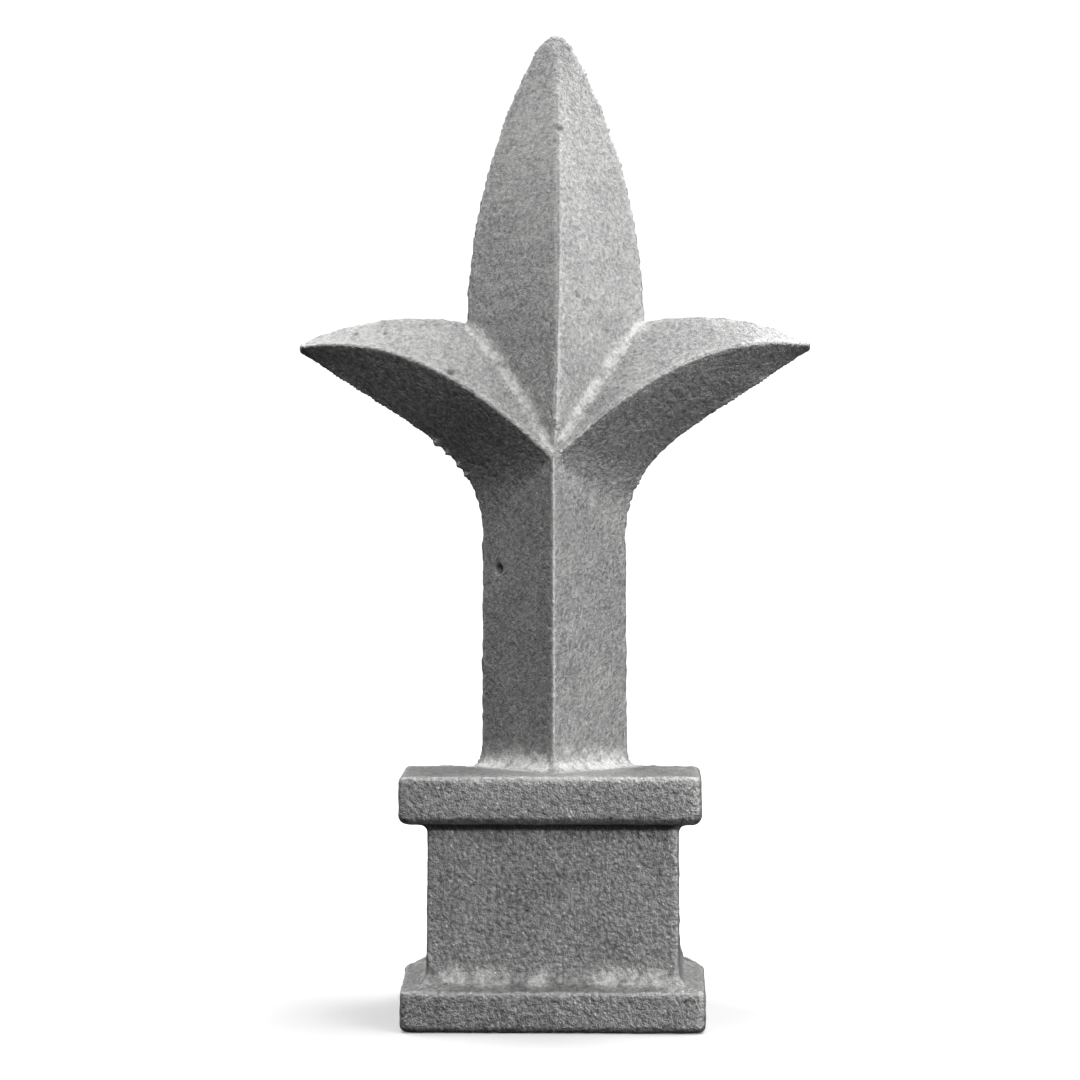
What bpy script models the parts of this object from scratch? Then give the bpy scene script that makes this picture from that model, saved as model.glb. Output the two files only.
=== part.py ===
"""Cast-iron fence picket finial: a three-leaf spearhead on a square stem, over a hollow square socket.

The finial is one sand casting. It stands on the rim of its socket, +Z is up and -Y is the front.
The square stem stands cornerwise, with one ridge to the front and one to each side.
The mould parts on the plane y = 0, so every form is widest there and the back repeats the front.
"""
import math

import bmesh
import bpy
from mathutils import Vector

# Driving dimensions, in millimetres
MM = 0.001
PICKET = 19.05
SOCKET_PLAY = 0.75
WALL = 3.35
SOCKET_DEPTH = 21.8
SOCKET_TAPER = 0.2
SOCKET_CORNER = 0.6
MOUTH_CHAMFER = 0.5
CORE_OVERRUN = 1.0

DRAFT = math.radians(3.0)
FACE_SETBACK = 0.45

FLANGE_STEP = 2.55
FLANGE_HEIGHT = 3.95
FLANGE_SLOPE = math.radians(11.0)
FOOT_ROUND = 0.7
FLANGE_ROUND = 0.3
COVE = 1.15
COLLAR_STEP = 2.6
COLLAR_UNDERSIDE = 20.2
COLLAR_TOP = 24.8
COLLAR_FILLET = 0.7
COLLAR_LOW_ROUND = 0.8
COLLAR_HIGH_ROUND = 0.6
# The collar sits a little off centre, to the left
COLLAR_SHIFT = -0.25
CORNER_ROUND = 0.9
BODY_CORNER_ROUND = 0.45

STEM_HALF_WIDTH = 7.75
STEM_HALF_DEPTH = 8.4
STEM_FLARE_SIDE = 1.05
STEM_FLARE_FRONT = 2.6
STEM_FLARE_HEIGHT = 2.2
STEM_SINK = 1.0
ARRIS_ROUND = 0.22
# Above the fork the stem narrows to a stub, hidden in the leaves
STUB_RISE = 3.0
STUB_SHARE = 0.6

FORK = 57.55
LEAF_REACH = 27.85
LEAF_TIP_LENGTH = 0.5
LEAF_BEND = 49.75
LEAF_TIP = 70.95
LEAF_TIP_HALF_HEIGHT = 0.65
LEAF_CROWN_X = 15.3
LEAF_CROWN = 74.35
LEAF_CROWN_RADIUS = 28.0
LEAF_RIDGE_VANISH = 29.2
LEAF_RIDGE_FALL = 0.7
LEAF_TOP_SPREAD = 1.35
# Near the fork the ridge of a leaf starts slowly, so that its underside turns out of the stem's face
LEAF_RIDGE_PACE = 2.0
# How far each edge of a leaf runs straight from its start and into its end, outwards and up
LOWER_PULL_OUT = (0.0, 10.3)
LOWER_PULL_IN = (11.3, 8.15)
RIDGE_PULL_OUT = (8.0, 7.8)
RIDGE_PULL_IN = (11.3, -0.6)
# The root of a leaf reaches past the middle of the stem, a little slimmer
ROOT_REACH = 1.2
ROOT_SHARE = 0.8

BLADE_HALF_WIDTH = 9.75
BLADE_OFFSET = 0.15
BLADE_SHOULDER = 73.25
BLADE_OUTLINE_RADIUS = 68.5
BLADE_RIDGE_RADIUS = 144.0
BLADE_RIDGE_START = 61.75
BLADE_TIP = 106.25
BLADE_TIP_LENGTH = 1.9
RIDGE_BOW = 0.45
# The root of the blade, from a point hidden in the stem: rise above the fork, half width, half depth
BLADE_ROOT = ((-2.3, 4.0, 5.0), (0.9, 9.0, 7.9))

# Fineness of the curves
ARC_STEPS = 4
CORNER_STEPS = 3
LEAF_STATIONS = 24
BLADE_STATIONS = 20
FLARE_STEPS = 6
TIP_STEPS = 4
TIP_FLAT = 0.4
# A rounded corner takes at most this share of each side beside it
LONGEST_ROUND = 0.4

# Sizes that follow from them
SOCKET_HALF = (PICKET + SOCKET_PLAY) / 2
BODY_HALF = SOCKET_HALF + WALL - SOCKET_TAPER / 2
FLANGE_HALF = BODY_HALF + FLANGE_STEP
COLLAR_HALF = BODY_HALF + COLLAR_STEP
FLANGE_HALF_DEPTH = FLANGE_HALF - FACE_SETBACK


def clear_scene():
    """Remove every object, so that the file holds the finial alone."""
    for item in list(bpy.data.objects):
        bpy.data.objects.remove(item, do_unlink=True)


def arc(centre_a, centre_b, radius, start, end, steps=ARC_STEPS):
    """Points on an arc, from start to end in degrees, as pairs."""
    angles = [math.radians(start + (end - start) * i / steps) for i in range(steps + 1)]
    return [(centre_a + radius * math.cos(a), centre_b + radius * math.sin(a)) for a in angles]


def bezier(points, t):
    """The point at t on the cubic curve of four control points."""
    s = 1 - t
    weights = (s * s * s, 3 * s * s * t, 3 * s * t * t, t * t * t)
    return tuple(sum(w * p[i] for w, p in zip(weights, points)) for i in range(len(points[0])))


def soften(corners, radii):
    """Replace each corner of a closed ring by a short rounded run of points."""
    ring = []
    count = len(corners)
    for i, corner in enumerate(corners):
        if radii[i] <= 0:
            ring.append(corner)
            continue
        before = corners[i - 1] - corner
        after = corners[(i + 1) % count] - corner
        start = corner + before * min(radii[i] / before.length, LONGEST_ROUND)
        end = corner + after * min(radii[i] / after.length, LONGEST_ROUND)
        for k in range(CORNER_STEPS + 1):
            t = k / CORNER_STEPS
            ring.append(start * (1 - t) ** 2 + corner * (2 * t * (1 - t)) + end * t ** 2)
    return ring


def skin(name, rings, top_centre=None):
    """A closed solid through a run of rings with equal counts, its ends filled."""
    bm = bmesh.new()
    rows = [[bm.verts.new(p * MM) for p in ring] for ring in rings]
    for low, high in zip(rows, rows[1:]):
        for i in range(len(low)):
            j = (i + 1) % len(low)
            bm.faces.new((low[i], low[j], high[j], high[i]))
    bm.faces.new(rows[0])
    if top_centre is None:
        bm.faces.new(rows[-1])
    else:
        crown = bm.verts.new(top_centre * MM)
        for i in range(len(rows[-1])):
            bm.faces.new((rows[-1][i], rows[-1][(i + 1) % len(rows[-1])], crown))
    bmesh.ops.recalc_face_normals(bm, faces=bm.faces)
    mesh = bpy.data.meshes.new(name)
    bm.to_mesh(mesh)
    bm.free()
    item = bpy.data.objects.new(name, mesh)
    bpy.context.collection.objects.link(item)
    return item


def drafted(z, y, lean):
    """Height of an edge that rises (lean 1) or falls (lean -1) towards the parting plane."""
    return z + lean * math.tan(DRAFT) * (FLANGE_HALF_DEPTH - abs(y))


def plan_ring(half_width, z, lean, corner, shift=0.0):
    """One level of the base: a square, widest at the parting plane, with rounded corners."""
    depth = half_width - FACE_SETBACK
    face = half_width - depth * math.tan(DRAFT)
    outline = [(half_width, 0), (face, depth), (-face, depth),
               (-half_width, 0), (-face, -depth), (face, -depth)]
    radii = [0, corner, corner, 0, corner, corner]
    ring = soften([Vector((x, y, 0)) for x, y in outline], radii)
    return [Vector((p.x + shift, p.y, drafted(z, p.y, lean))) for p in ring]


def base_profile():
    """Half width, height, lean, corner and shift of the base from its underside to the collar's top."""
    ledge_inner = BODY_HALF + COVE
    ledge_height = FLANGE_HEIGHT + math.tan(FLANGE_SLOPE) * (FLANGE_HALF - FLANGE_ROUND - ledge_inner)
    stations = []
    for a, z in arc(FLANGE_HALF - FOOT_ROUND, FOOT_ROUND, FOOT_ROUND, -90, 0):
        stations.append((a, z, 0, CORNER_ROUND))
    for a, z in arc(FLANGE_HALF - FLANGE_ROUND, FLANGE_HEIGHT - FLANGE_ROUND, FLANGE_ROUND, 0, 90):
        stations.append((a, z, 1, CORNER_ROUND))
    for a, z in arc(ledge_inner, ledge_height + COVE, COVE, -90, -180):
        stations.append((a, z, 1, BODY_CORNER_ROUND))
    fillet_centre = BODY_HALF + COLLAR_FILLET
    for a, z in arc(fillet_centre, COLLAR_UNDERSIDE - COLLAR_FILLET, COLLAR_FILLET, 180, 90):
        stations.append((a, z, -1, BODY_CORNER_ROUND))
    low = COLLAR_HALF - COLLAR_LOW_ROUND
    for a, z in arc(low, COLLAR_UNDERSIDE + COLLAR_LOW_ROUND, COLLAR_LOW_ROUND, -90, 0):
        stations.append((a, z, -1, CORNER_ROUND, COLLAR_SHIFT))
    high = COLLAR_HALF - COLLAR_HIGH_ROUND
    for a, z in arc(high, COLLAR_TOP - COLLAR_HIGH_ROUND, COLLAR_HIGH_ROUND, 0, 90):
        stations.append((a, z, 1, CORNER_ROUND, COLLAR_SHIFT))
    return stations


def make_base():
    """Flange, body and collar as one moulded block."""
    rings = [plan_ring(*station) for station in base_profile()]
    crown = Vector((0, 0, drafted(COLLAR_TOP, 0, 1)))
    return skin("finial_casting", rings, crown)


def make_socket_core():
    """The hollow for the picket, a little wider at its mouth."""
    below = SOCKET_HALF + MOUTH_CHAMFER + CORE_OVERRUN
    ceiling = SOCKET_HALF - SOCKET_TAPER
    levels = [(below, -CORE_OVERRUN), (SOCKET_HALF, MOUTH_CHAMFER), (ceiling, SOCKET_DEPTH)]
    rings = []
    for half, z in levels:
        corners = [Vector((half * x, half * y, z)) for x, y in ((1, 1), (-1, 1), (-1, -1), (1, -1))]
        rings.append(soften(corners, [SOCKET_CORNER] * 4))
    return skin("socket_core", rings)


def diamond(side, front, z_side, z_front, offset=0.0, bow=0.0):
    """A level ring of the stem or blade: two side edges and a front and a back ridge."""
    corners = [Vector((offset + side, 0, z_side)), Vector((offset + bow, front, z_front)),
               Vector((offset - side, 0, z_side)), Vector((offset + bow, -front, z_front))]
    return soften(corners, [ARRIS_ROUND] * 4)


def tip_steps():
    """Shares of the length and of the thickness of a rounded tip, from its start outwards."""
    angles = [math.pi / 2 * i / (TIP_STEPS + TIP_FLAT) for i in range(1, TIP_STEPS + 1)]
    return [(math.sin(a), math.cos(a)) for a in angles]


def make_stem():
    """Square stem set corner to the front, flared where it grows out of the collar."""
    side_foot = drafted(COLLAR_TOP, 0, 1)
    front_foot = drafted(COLLAR_TOP, STEM_HALF_DEPTH + STEM_FLARE_FRONT, 1)
    rings = [diamond(STEM_HALF_WIDTH + STEM_FLARE_SIDE, STEM_HALF_DEPTH + STEM_FLARE_FRONT,
                     side_foot - STEM_SINK, front_foot - STEM_SINK)]
    for i in range(FLARE_STEPS + 1):
        rise = i / FLARE_STEPS
        swell = 1 - math.sqrt(1 - (1 - rise) ** 2)
        rings.append(diamond(STEM_HALF_WIDTH + STEM_FLARE_SIDE * swell,
                             STEM_HALF_DEPTH + STEM_FLARE_FRONT * swell,
                             side_foot + STEM_FLARE_HEIGHT * rise,
                             front_foot + STEM_FLARE_HEIGHT * rise))
    rings.append(diamond(STEM_HALF_WIDTH, STEM_HALF_DEPTH, LEAF_BEND, LEAF_BEND))
    rings.append(diamond(STEM_HALF_WIDTH, STEM_HALF_DEPTH, FORK, FORK))
    stub = FORK + STUB_RISE
    rings.append(diamond(STEM_HALF_WIDTH * STUB_SHARE, STEM_HALF_DEPTH * STUB_SHARE, stub, stub))
    return skin("stem_form", rings)


def blade_ring(z, share=1.0):
    """The blade's outline at height z, its thickness cut to a share of itself near the tip."""
    rise = max(0.0, z - BLADE_SHOULDER)
    sagitta = BLADE_OUTLINE_RADIUS - math.sqrt(BLADE_OUTLINE_RADIUS ** 2 - rise ** 2)
    width = BLADE_HALF_WIDTH - sagitta
    depth = STEM_HALF_DEPTH - (z - FORK) ** 2 / (2 * BLADE_RIDGE_RADIUS)
    bow = RIDGE_BOW * math.sin(math.pi * (z - FORK) / (BLADE_TIP - FORK))
    return diamond(width * share, depth * share, z, z, BLADE_OFFSET, bow)


def make_blade():
    """The middle leaf: a spear blade with a ridge down its front and back."""
    rings = [diamond(width, depth, FORK + rise, FORK + rise) for rise, width, depth in BLADE_ROOT]
    tip_start = BLADE_TIP - BLADE_TIP_LENGTH
    for i in range(BLADE_STATIONS + 1):
        rings.append(blade_ring(BLADE_RIDGE_START + (tip_start - BLADE_RIDGE_START) * i / BLADE_STATIONS))
    for ahead, share in tip_steps():
        rings.append(blade_ring(tip_start + BLADE_TIP_LENGTH * ahead, share))
    return skin("blade_form", rings)


def edge_curve(start, pull_out, pull_in, end, t):
    """A curve that leaves start along pull_out and comes into end along pull_in."""
    first = (start[0] + pull_out[0], start[1] + pull_out[1])
    last = (end[0] - pull_in[0], end[1] - pull_in[1])
    return bezier([start, first, last, end], t)


def leaf_section(t):
    """Lower edge, front ridge, upper edge and back ridge of a right-hand leaf at t."""
    end = LEAF_REACH - LEAF_TIP_LENGTH
    lower_x, lower_z = edge_curve((STEM_HALF_WIDTH, LEAF_BEND), LOWER_PULL_OUT, LOWER_PULL_IN,
                                  (end, LEAF_TIP - LEAF_TIP_HALF_HEIGHT), t)
    paced = t ** LEAF_RIDGE_PACE
    ridge_x, ridge_z = edge_curve((0, FORK), RIDGE_PULL_OUT, RIDGE_PULL_IN, (end, LEAF_TIP), paced)
    upper_x = end * paced ** LEAF_TOP_SPREAD
    upper_z = LEAF_CROWN - (upper_x - LEAF_CROWN_X) ** 2 / (2 * LEAF_CROWN_RADIUS)
    depth = STEM_HALF_DEPTH * (1 - ridge_x / LEAF_RIDGE_VANISH) ** LEAF_RIDGE_FALL
    return [Vector((lower_x, 0, lower_z)), Vector((ridge_x, -depth, ridge_z)),
            Vector((upper_x, 0, upper_z)), Vector((ridge_x, depth, ridge_z))]


def make_leaf(name, side):
    """A side leaf that bends out of the stem and tapers to a blunt tip."""
    sections = [leaf_section(i / LEAF_STATIONS) for i in range(LEAF_STATIONS + 1)]
    root_centre = sum(sections[0], Vector()) / 4
    inward = Vector((ROOT_REACH, 0, 0))
    root = [root_centre + (p - root_centre) * ROOT_SHARE - inward for p in sections[0]]
    rings = [soften(corners, [ARRIS_ROUND] * 4) for corners in [root] + sections]
    tip = rings[-1]
    tip_centre = sum(tip, Vector()) / len(tip)
    for ahead, share in tip_steps():
        step = Vector((LEAF_TIP_LENGTH * ahead, 0, 0))
        rings.append([tip_centre + step + (p - tip_centre) * share for p in tip])
    rings = [[Vector((p.x * side, p.y, p.z)) for p in ring] for ring in rings]
    return skin(name, rings)


def combine(target, tool, operation):
    """Join a form to the casting, or cut it away, and hide the form itself."""
    step = target.modifiers.new(tool.name, "BOOLEAN")
    step.operation = operation
    step.object = tool
    step.solver = "EXACT"
    tool.hide_render = True
    tool.display_type = "WIRE"


def raw_cast_iron():
    """Blasted grey iron as it leaves the foundry, unpainted."""
    material = bpy.data.materials.new("raw_cast_iron")
    material.use_nodes = True
    shader = material.node_tree.nodes["Principled BSDF"]
    shader.inputs["Base Color"].default_value = (0.34, 0.34, 0.345, 1)
    shader.inputs["Metallic"].default_value = 0.85
    shader.inputs["Roughness"].default_value = 0.55
    return material


def main():
    clear_scene()
    casting = make_base()
    combine(casting, make_stem(), "UNION")
    combine(casting, make_blade(), "UNION")
    combine(casting, make_leaf("leaf_right_form", 1), "UNION")
    combine(casting, make_leaf("leaf_left_form", -1), "UNION")
    combine(casting, make_socket_core(), "DIFFERENCE")
    casting.data.materials.append(raw_cast_iron())


main()
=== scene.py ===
"""The looks of a cast-iron fence picket finial: its sand-cast surface, bare iron finish, light and camera."""
import math

import bmesh
import bpy
import numpy as np
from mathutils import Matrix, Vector, noise
from mathutils.bvhtree import BVHTree
from mathutils.kdtree import KDTree


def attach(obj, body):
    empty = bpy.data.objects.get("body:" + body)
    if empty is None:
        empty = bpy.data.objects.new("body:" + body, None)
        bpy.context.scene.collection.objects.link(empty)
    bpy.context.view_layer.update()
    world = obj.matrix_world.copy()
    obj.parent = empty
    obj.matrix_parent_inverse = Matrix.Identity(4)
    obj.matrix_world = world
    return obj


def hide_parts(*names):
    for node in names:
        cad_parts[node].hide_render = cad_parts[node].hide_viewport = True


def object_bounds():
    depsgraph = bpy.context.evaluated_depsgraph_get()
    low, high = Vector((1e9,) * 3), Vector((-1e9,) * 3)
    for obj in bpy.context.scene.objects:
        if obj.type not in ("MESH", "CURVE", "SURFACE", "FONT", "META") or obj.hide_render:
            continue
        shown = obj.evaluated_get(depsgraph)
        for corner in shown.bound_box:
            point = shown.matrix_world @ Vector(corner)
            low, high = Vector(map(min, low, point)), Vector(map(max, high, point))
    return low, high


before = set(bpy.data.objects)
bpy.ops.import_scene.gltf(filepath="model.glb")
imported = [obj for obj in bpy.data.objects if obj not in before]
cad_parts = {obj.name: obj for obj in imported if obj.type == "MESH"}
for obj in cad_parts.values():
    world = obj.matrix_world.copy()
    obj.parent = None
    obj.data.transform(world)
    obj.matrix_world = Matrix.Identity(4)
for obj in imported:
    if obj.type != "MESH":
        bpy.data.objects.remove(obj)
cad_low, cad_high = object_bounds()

MM = 0.001

# Casting surface, in millimetres
GRID = 0.25
MOST_TRIANGLES = 192000
MERGE = 0.001
# Points are put on an edge of the solid that turns by more than this, in radians, if it lies this near
CREASE_TURN = 0.2
CREASE_REACH = 0.42 * GRID
CREASE_SPACING = 0.06
FILLET_PASSES = 5
WEAR_PASSES = 16
WEAR_SPAN = 0.10
BASE_TOP = 25.35
SOCKET_HALF = 10.6
SOCKET_TOP = 22.2

# Sizes and heights of the lumps that the sand leaves: on the base, then on stem and leaves
LUMP_SIZE = 2.2
BASE_LUMPS = 0.05
HEAD_LUMPS = 0.03
SAND_SIZE = 0.9
BASE_SAND = 0.05
HEAD_SAND = 0.03

# The parting line: half width and height of its fin, and how far apart its high places are
FIN_HALF = 0.32
FIN_RISE = 0.16
FIN_SPACING = 1.3

# Burrs and bits of flash that stand proud: place, radius, rise
BURRS = [
    ((-12.6, 0.0, 60.65), 0.40, 0.30),
    ((-11.4, 0.0, 59.55), 0.32, 0.34),
    ((-10.2, 0.0, 58.15), 0.38, 0.30),
    ((-9.4, 0.0, 57.05), 0.30, 0.26),
    ((-13.9, 0.0, 6.0), 1.30, 0.35),
    ((13.9, 0.0, 5.9), 1.10, 0.25),
    ((-11.1, -5.4, 67.45), 0.30, 0.16),
]

# Light scale left in the corners on the front and back of the base, with a painted sheen where they face up:
# middle along x, half length
SCALE_AND_SHEEN_PATCHES = [(-9.9, 1.5), (-6.0, 1.9), (-1.5, 0.9), (8.0, 4.2)]

# Blow holes and dents: place, radius, depth
PITS = [
    ((-5.87, -2.03, 46.53), 0.55, 0.42),
    ((0.60, -3.55, 94.45), 0.40, 0.22),
    ((0.20, -3.80, 92.85), 0.30, 0.12),
    ((2.63, -5.68, 75.44), 0.28, 0.16),
    ((-18.32, -1.85, 72.27), 0.30, 0.18),
    ((-21.40, -1.54, 72.25), 0.28, 0.16),
    ((-10.87, -5.47, 67.23), 0.45, 0.20),
]

# The light, in metres and watts: azimuth (0 is the front, 90 the right), elevation, power
LAMP_AIM = (0.0, 0.0, 0.055)
LAMP_DISTANCE = 0.36
LAMP_SIZE = 0.24
LAMPS = [
    (0, 80, 0.47),
    (-135, 50, 0.50),
    (-90, 50, 0.15),
    (-45, 50, 0.09),
    (90, 50, 0.43),
    (135, 50, 0.68),
    (-135, 15, 0.20),
    (-45, 15, 0.35),
    (45, 15, 0.50),
    (90, 15, 0.18),
    (-45, -5, 0.03),
    (45, -5, 0.31),
    (90, -5, 0.08),
]


class Solid:
    """The casting's solid: its surface, and points close together along its sharper edges."""

    def __init__(self, bm):
        self.surface = BVHTree.FromBMesh(bm)
        places = []
        for edge in bm.edges:
            if edge.is_manifold and edge.calc_face_angle() > CREASE_TURN:
                count = max(1, math.ceil(edge.calc_length() / (CREASE_SPACING * MM)))
                start, end = (v.co.copy() for v in edge.verts)
                places += [start.lerp(end, i / count) for i in range(count + 1)]
        self.creases = KDTree(len(places))
        for i, place in enumerate(places):
            self.creases.insert(place, i)
        self.creases.balance()

    def settle(self, points):
        """Put each point back on the solid's surface, and on an edge that passes close by."""
        placed = []
        for point in points:
            place = self.surface.find_nearest(Vector(point) * MM)[0]
            crease, _, away = self.creases.find(place)
            placed.append(crease[:] if away < CREASE_REACH * MM else place[:])
        return np.array(placed) / MM


def fine_surface():
    """A copy of the casting's solid, merged and remade as small even squares."""
    bm = bmesh.new()
    bm.from_mesh(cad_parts["finial_casting"].data)
    bmesh.ops.remove_doubles(bm, verts=bm.verts, dist=MERGE * MM)
    solid = Solid(bm)
    mesh = bpy.data.meshes.new("finial")
    bm.to_mesh(mesh)
    bm.free()
    piece = bpy.data.objects.new("finial", mesh)
    bpy.context.scene.collection.objects.link(piece)
    remesh = piece.modifiers.new("even_squares", "REMESH")
    remesh.mode = "VOXEL"
    remesh.voxel_size = GRID * MM
    graph = bpy.context.evaluated_depsgraph_get()
    fine = bpy.data.meshes.new_from_object(piece.evaluated_get(graph))
    piece.modifiers.clear()
    piece.data = fine
    bpy.data.meshes.remove(mesh)
    fine.name = "finial"
    return piece, solid


def points_of(mesh):
    """The vertices of a mesh, in millimetres."""
    flat = np.empty(len(mesh.vertices) * 3)
    mesh.vertices.foreach_get("co", flat)
    return flat.reshape(-1, 3) / MM


def normals_of(mesh, points):
    """Vertex normals of the mesh once its vertices stand at these points."""
    mesh.vertices.foreach_set("co", (points * MM).ravel())
    mesh.update()
    flat = np.empty(len(mesh.vertices) * 3, dtype=np.float32)
    mesh.vertex_normals.foreach_get("vector", flat)
    return flat.reshape(-1, 3).astype(float)


class Neighbours:
    """Averages over the vertices joined to each vertex by an edge."""

    def __init__(self, mesh):
        pairs = np.empty(len(mesh.edges) * 2, dtype=np.int64)
        mesh.edges.foreach_get("vertices", pairs)
        pairs = pairs.reshape(-1, 2)
        self.here = np.concatenate([pairs[:, 0], pairs[:, 1]])
        self.there = np.concatenate([pairs[:, 1], pairs[:, 0]])
        self.size = len(mesh.vertices)
        self.count = np.bincount(self.here, minlength=self.size)

    def average(self, values):
        """The mean of each vertex's neighbours, for numbers or for points."""
        if values.ndim == 1:
            return np.bincount(self.here, values[self.there], self.size) / self.count
        return np.stack([self.average(values[:, i]) for i in range(values.shape[1])], axis=1)

    def blurred(self, values, passes):
        """Values spread over their surroundings."""
        for _ in range(passes):
            values = (values + self.average(values)) / 2
        return values


def fade(value, low, high):
    """0 below low, 1 above high, smooth between."""
    share = np.clip((value - low) / (high - low), 0, 1)
    return share * share * (3 - 2 * share)


def grain(points, size, seed, octaves=2):
    """Even random relief of a given feature size, about -1 to 1."""
    shift = Vector((seed * 7.31, seed * 3.17, seed * 5.83))
    return np.array([noise.fractal(Vector(p) / size + shift, 1.0, 2.0, octaves) for p in points])


def fill_valleys(points, mesh, near):
    """Round the inner corners, as the pattern maker's fillets do, and leave the ridges alone."""
    for _ in range(FILLET_PASSES):
        normals = normals_of(mesh, points)
        step = near.average(points) - points
        lift = (step * normals).sum(axis=1)
        points = points + normals * np.clip(near.blurred(lift, 2), 0, None)[:, None]
    return points


def inside_socket(points):
    """1 inside the socket and on its mouth, 0 outside."""
    reach = np.abs(points[:, :2]).max(axis=1)
    return (1 - fade(reach, SOCKET_HALF, SOCKET_HALF + 0.4)) * (points[:, 2] < SOCKET_TOP)


def parting_fin(points, normals, outside):
    """The thin rough line that the joint of the mould leaves all round the outline."""
    near_line = np.clip(1 - np.abs(points[:, 1]) / FIN_HALF, 0, 1)
    along = grain(points, FIN_SPACING, 11, 3)
    ragged = np.clip(0.35 + 1.1 * along, 0, 1.4)
    level = np.abs(normals[:, 1]) < 0.6
    return near_line * ragged * FIN_RISE * outside * level


def bumps(points, places):
    """Round hills of the given places, radii and heights."""
    height = np.zeros(len(points))
    for place, radius, rise in places:
        away = np.linalg.norm(points - np.array(place), axis=1) / radius
        height += rise * np.exp(-away ** 4)
    return height


def store(mesh, name, values):
    """Keep one number for each vertex, for the material to read."""
    layer = mesh.attributes.new(name, "FLOAT", "POINT")
    layer.data.foreach_set("value", np.clip(values, 0, 1).astype(np.float32))


def scale_and_sheen_share(points, normals, valley):
    """Where light scale and bright metal stay in the inner corners, in the forks and the coves; partly a
    painted sheen, as only the corners that face up are made brighter.
    """
    x, z = points[:, 0], points[:, 2]
    broken = np.clip(0.65 + 1.1 * grain(points, 1.4, 21, 3), 0, 1)
    cove = fade(z, 3.95, 4.65) * (1 - fade(z, 5.35, 6.55))
    along = np.zeros(len(points))
    for middle, half in SCALE_AND_SHEEN_PATCHES:
        along = np.maximum(along, 1 - fade(np.abs(x - middle), half * 0.7, half * 1.15))
    # painted sheen: only the faces turned up get the brighter corners
    facing = fade(normals[:, 2], -0.25, 0.1)
    head = fade(z, 25.85, 27.35) + (1 - fade(z, 26.85, 28.85)) * fade(z, 24.35, 25.35)
    return facing * broken * np.maximum(cove * along, np.clip(valley * 2.2, 0, 1) * np.clip(head, 0, 1))


def painted_shade_share(points, normals, valley, pits):
    """Painted shade: where the colour is made darker, in the hollow under the collar and in the blow holes.
    """
    under = valley * fade(-normals[:, 2], 0.05, 0.5)
    return np.clip(under * 2 + pits * 4, 0, 1)


def thin_out(piece):
    """Merge the least needed points, so that the mesh keeps to its number of triangles."""
    mesh = piece.data
    mesh.calc_loop_triangles()
    fewer = piece.modifiers.new("fewer_triangles", "DECIMATE")
    fewer.ratio = min(1.0, MOST_TRIANGLES / len(mesh.loop_triangles))
    graph = bpy.context.evaluated_depsgraph_get()
    thin = bpy.data.meshes.new_from_object(piece.evaluated_get(graph))
    piece.modifiers.clear()
    piece.data = thin
    bpy.data.meshes.remove(mesh)
    thin.name = "finial"
    thin.shade_smooth()


def make_finial():
    """The casting with its fillets, sand relief, parting line, burrs and blow holes."""
    piece, solid = fine_surface()
    mesh = piece.data
    near = Neighbours(mesh)
    points = near.blurred(points_of(mesh), 1)
    points = solid.settle(points)
    points = fill_valleys(points, mesh, near)
    normals = normals_of(mesh, points)
    bulge = ((points - near.blurred(points, WEAR_PASSES)) * normals).sum(axis=1) / WEAR_SPAN
    outside = 1 - inside_socket(points)
    low = 1 - fade(points[:, 2], BASE_TOP, BASE_TOP + 4)
    pits = bumps(points, PITS)
    relief = grain(points, LUMP_SIZE, 1) * (HEAD_LUMPS + (BASE_LUMPS - HEAD_LUMPS) * low)
    relief += grain(points, SAND_SIZE, 2) * (HEAD_SAND + (BASE_SAND - HEAD_SAND) * low)
    relief += parting_fin(points, normals, outside)
    relief += bumps(points, BURRS) - pits
    store(mesh, "crest", bulge * outside)
    # light scale in the corners, partly a painted sheen on the faces that look up
    store(mesh, "scale_and_sheen", scale_and_sheen_share(points, normals, np.clip(-bulge, 0, 1)) * outside)
    # painted shade: the colour is darkened under the collar and in the blow holes
    store(mesh, "painted_shade", painted_shade_share(points, normals, np.clip(-bulge, 0, 1), pits))
    points = points + normals * relief[:, None]
    points = np.clip(points, np.array(cad_low) / MM, np.array(cad_high) / MM)
    normals_of(mesh, points)
    thin_out(piece)
    return piece


class Value:
    """A number that varies over the surface; sums and products of it are Math nodes."""

    def __init__(self, shade, socket):
        self.shade = shade
        self.socket = socket

    def step(self, operation, first, second=0.0):
        return self.shade.node("Math", {"operation": operation}, {0: first, 1: second})

    def __add__(self, other):
        return self.step("ADD", self, other)

    def __sub__(self, other):
        return self.step("SUBTRACT", self, other)

    def __rsub__(self, other):
        return self.step("SUBTRACT", other, self)

    def __mul__(self, other):
        return self.step("MULTIPLY", self, other)

    __radd__ = __add__
    __rmul__ = __mul__

    def clamped(self):
        return self.shade.node("Clamp", {}, {"Value": self})


class Shade:
    """The node tree of one material."""

    def __init__(self, name):
        self.material = bpy.data.materials.new(name)
        self.material.use_nodes = True
        self.tree = self.material.node_tree
        self.shader = self.tree.nodes["Principled BSDF"]

    def fill(self, socket, value):
        if isinstance(value, Value):
            self.tree.links.new(value.socket, socket)
        else:
            socket.default_value = value

    def node(self, kind, settings=None, sockets=None, result=0):
        """Add a node: its settings first, then what its sockets hold or are linked to."""
        made = self.tree.nodes.new("ShaderNode" + kind)
        for name, setting in (settings or {}).items():
            setattr(made, name, setting)
        for name, value in (sockets or {}).items():
            self.fill(made.inputs[name], value)
        return Value(self, made.outputs[result])

    def finish(self, **values):
        """Set or link the surface shader's own sockets."""
        for name, value in values.items():
            self.fill(self.shader.inputs[name.replace("_", " ")], value)
        return self.material


def millimetres(shade):
    """Object coordinates, in millimetres."""
    place = shade.node("TexCoord", result="Object")
    return shade.node("VectorMath", {"operation": "SCALE"}, {0: place, "Scale": 1 / MM})


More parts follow.
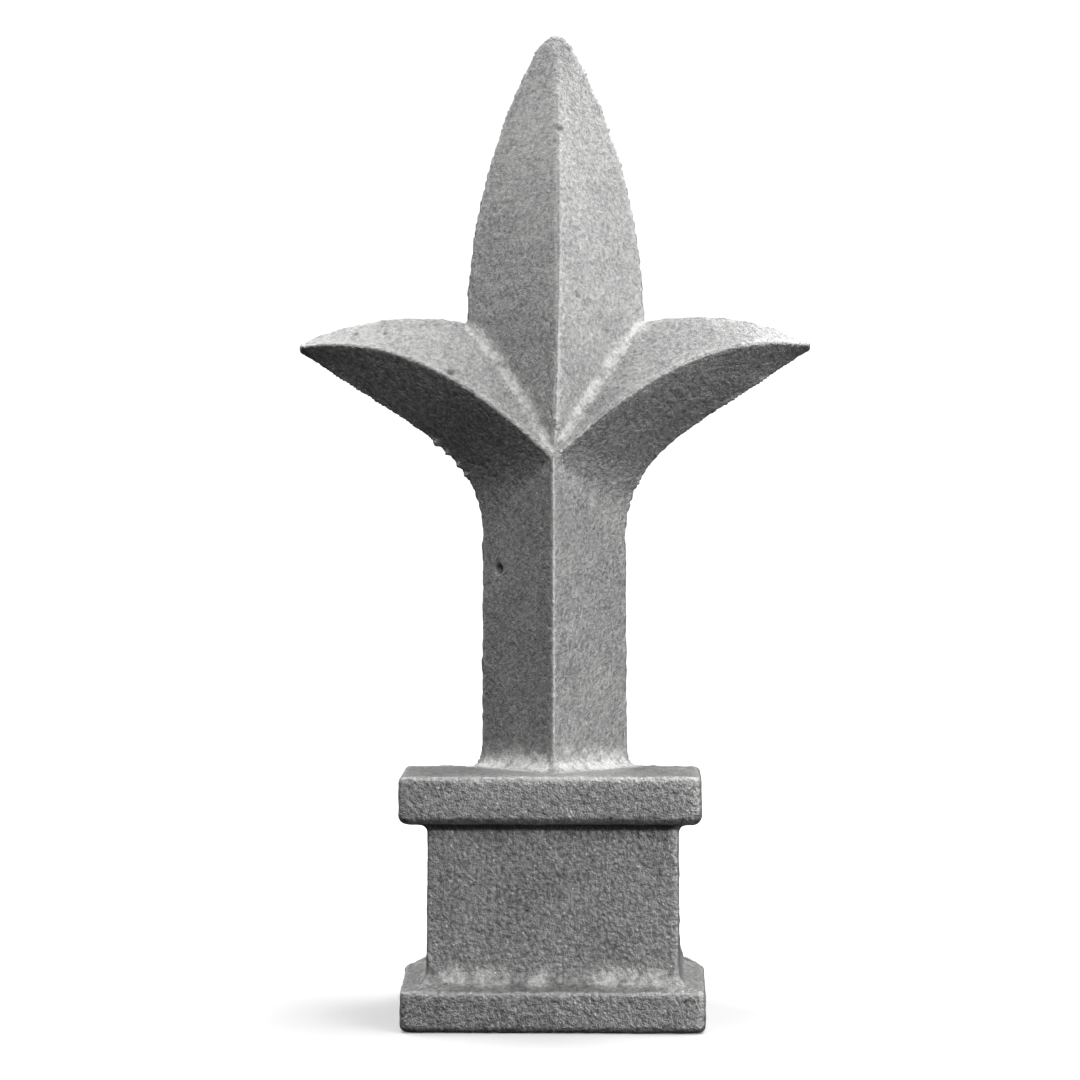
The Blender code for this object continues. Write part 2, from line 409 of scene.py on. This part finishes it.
def speckle(shade, place, size, detail=2.0, rough=0.5):
    """Cloudy noise, 0 to 1, with features of this size in millimetres."""
    sockets = {"Vector": place, "Scale": 1 / size, "Detail": detail, "Roughness": rough}
    return shade.node("TexNoise", {}, sockets)


def attribute(shade, name):
    """A number kept on the vertices."""
    return shade.node("Attribute", {"attribute_name": name}, result="Fac")


def between(shade, value, low, high):
    """0 where the value is low, 1 where it is high, smooth between."""
    settings = {"interpolation_type": "SMOOTHSTEP"}
    return shade.node("MapRange", settings, {"Value": value, "From Min": low, "From Max": high})


def grey(shade, tone, first, second):
    """A colour between two, by a number from 0 to 1."""
    settings = {"data_type": "RGBA"}
    return shade.node("Mix", settings, {0: tone, 6: first, 7: second}, result=2)


def grains(shade, place, size, soften=0.35):
    """Packed round grains, 1 at their tops and 0 between them."""
    settings = {"feature": "SMOOTH_F1"}
    sockets = {"Vector": place, "Scale": 1 / size, "Smoothness": soften, "Randomness": 1.0}
    return 1 - shade.node("TexVoronoi", settings, sockets)


def raw_iron():
    """Blasted grey iron: sand grain, brighter ridges and edges, pale scale with a painted sheen in corners,
    painted glints, and painted shade in the hollows.
    """
    shade = Shade("raw_iron_finish")
    place = millimetres(shade)
    height = shade.node("SeparateXYZ", {}, {0: place}, result="Z")
    low = 1 - between(shade, height, 24.35, 27.35)
    crest = attribute(shade, "crest")
    scale_and_sheen = attribute(shade, "scale_and_sheen")
    painted_shade = attribute(shade, "painted_shade")
    clouds = speckle(shade, place, 6.0, 3.0) - 0.5
    lumps = speckle(shade, place, 0.9, 2.0, 0.6) - 0.5
    sand = speckle(shade, place, 0.42, 3.0, 0.75) - 0.5
    beads = grains(shade, place, 0.50) - 0.5
    dust = speckle(shade, place, 0.15, 2.0, 0.6) - 0.5
    glints = between(shade, grains(shade, place, 0.95, 0.0), 0.80, 0.95)
    # light scale and painted sheen: brighter colour in the upward-facing corners
    scale_and_sheen_flecks = (scale_and_sheen * (1.3 + sand * 2.5)).clamped()
    worn = (crest * 0.8 + sand * 0.8).clamped()
    tone = 0.40 + clouds * 0.30 + lumps * 0.25 + sand * 1.0 + beads * (0.10 + low * 0.20) + dust * 0.45
    tone = tone + worn * 0.15 + glints * (0.10 + low * 0.30) + scale_and_sheen_flecks * 0.45
    # painted shade: darker colour under the collar and in the blow holes
    tone = (tone * (1 - painted_shade * 0.85)).clamped()
    colour = grey(shade, tone, (0.08, 0.08, 0.082, 1), (0.76, 0.76, 0.75, 1))
    rough = 0.50 + sand * 0.25 - worn * 0.08 + scale_and_sheen_flecks * 0.15 - glints * 0.10
    relief = lumps * 0.30 + sand * (0.50 + low * 0.40) + beads * (0.08 + low * 0.22) + dust * 0.16
    relief = relief + glints * low * 0.15
    bump = shade.node("Bump", {}, {"Strength": 1.0, "Distance": 0.22 * MM, "Height": relief})
    return shade.finish(Base_Color=colour, Metallic=0.85, Roughness=rough, Normal=bump)


def pale_stage():
    """A pale floor, turned up into a wall far off, all one surface, that glows by itself: painted light,
    dimmed towards the middle as painted shade around the finial.
    """
    radius, bend, wall = 0.45, 0.25, 0.9
    bm = bmesh.new()
    first = bm.verts.new((0.0, 0.0, 0.0))
    last = bm.verts.new((radius, 0.0, 0.0))
    profile = [first, last]
    for i in range(1, 13):
        turn = math.radians(90 * i / 12)
        profile.append(bm.verts.new((radius + bend * math.sin(turn), 0, bend * (1 - math.cos(turn)))))
    profile.append(bm.verts.new((radius + bend, 0, wall)))
    edges = [bm.edges.new(pair) for pair in zip(profile, profile[1:])]
    bmesh.ops.spin(bm, geom=profile + edges, cent=(0, 0, 0), axis=(0, 0, 1), angle=math.tau,
                   steps=96, use_merge=True)
    bmesh.ops.remove_doubles(bm, verts=bm.verts, dist=1e-6)
    bmesh.ops.recalc_face_normals(bm, faces=bm.faces)
    mesh = bpy.data.meshes.new("studio_floor")
    bm.to_mesh(mesh)
    bm.free()
    mesh.shade_smooth()
    floor = bpy.data.objects.new("studio_floor", mesh)
    bpy.context.scene.collection.objects.link(floor)
    floor.visible_diffuse = False
    floor.visible_glossy = False
    floor.visible_shadow = False
    shade = Shade("pale_floor")
    place = shade.node("TexCoord", result="Object")
    away = shade.node("VectorMath", {"operation": "LENGTH"}, {0: place}, result="Value")
    # painted light: the floor glows, from dim grey near the finial to white far off, a painted shade round
    # its foot
    painted_glow = between(shade, away, 0.05, 0.40)
    painted_glow = grey(shade, painted_glow, (0.10, 0.10, 0.10, 1), (1, 1, 1, 1))
    material = shade.finish(Base_Color=(0.86, 0.86, 0.86, 1), Roughness=0.9, Emission_Color=painted_glow,
                            Emission_Strength=1.0)
    material.cycles.emission_sampling = "NONE"
    mesh.materials.append(material)


def soft_lamp(name, azimuth, elevation, power):
    """A round soft lamp that faces the finial; azimuth 0 is the front and 90 the right."""
    data = bpy.data.lights.new(name, "AREA")
    data.shape = "DISK"
    data.size = LAMP_SIZE
    data.energy = power
    lamp = bpy.data.objects.new(name, data)
    bpy.context.scene.collection.objects.link(lamp)
    turn, rise = math.radians(azimuth), math.radians(elevation)
    outward = Vector((math.sin(turn) * math.cos(rise), -math.cos(turn) * math.cos(rise), math.sin(rise)))
    lamp.location = Vector(LAMP_AIM) + outward * LAMP_DISTANCE
    lamp.rotation_euler = (-outward).to_track_quat("-Z", "Y").to_euler()
    lamp.visible_camera = False
    return lamp


def soft_light():
    """A ring of soft lamps, strongest above, behind on both sides and at the right of the front."""
    for i, (azimuth, elevation, power) in enumerate(LAMPS):
        soft_lamp(f"lamp_{i}", azimuth, elevation, power)
    world = bpy.data.worlds.new("studio")
    bpy.context.scene.world = world
    world.use_nodes = True
    world.node_tree.nodes["Background"].inputs["Color"].default_value = (0, 0, 0, 1)


def camera():
    """The photograph's viewing angle: from the front, a little below the middle, looking up."""
    yaw, pitch = math.radians(-1.3), math.radians(6.0)
    aim = Vector((-1.54, 0, 49.85)) * MM
    ahead = Vector((math.sin(yaw) * math.cos(pitch), math.cos(yaw) * math.cos(pitch), math.sin(pitch)))
    data = bpy.data.cameras.new("camera")
    data.sensor_width = 36.0
    data.lens = 62.35
    data.clip_start = 0.01
    data.clip_end = 10.0
    seat = bpy.data.objects.new("camera", data)
    bpy.context.scene.collection.objects.link(seat)
    seat.location = aim - ahead * 202 * MM
    seat.rotation_euler = ahead.to_track_quat("-Z", "Y").to_euler()
    bpy.context.scene.camera = seat


def main():
    """Build the piece, its finish, the stage, the light and the camera."""
    camera()
    piece = make_finial()
    piece.data.materials.clear()
    piece.data.materials.append(raw_iron())
    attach(piece, "root")
    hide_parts("finial_casting")
    pale_stage()
    soft_light()
    bpy.context.scene.view_settings.view_transform = "Standard"


main()
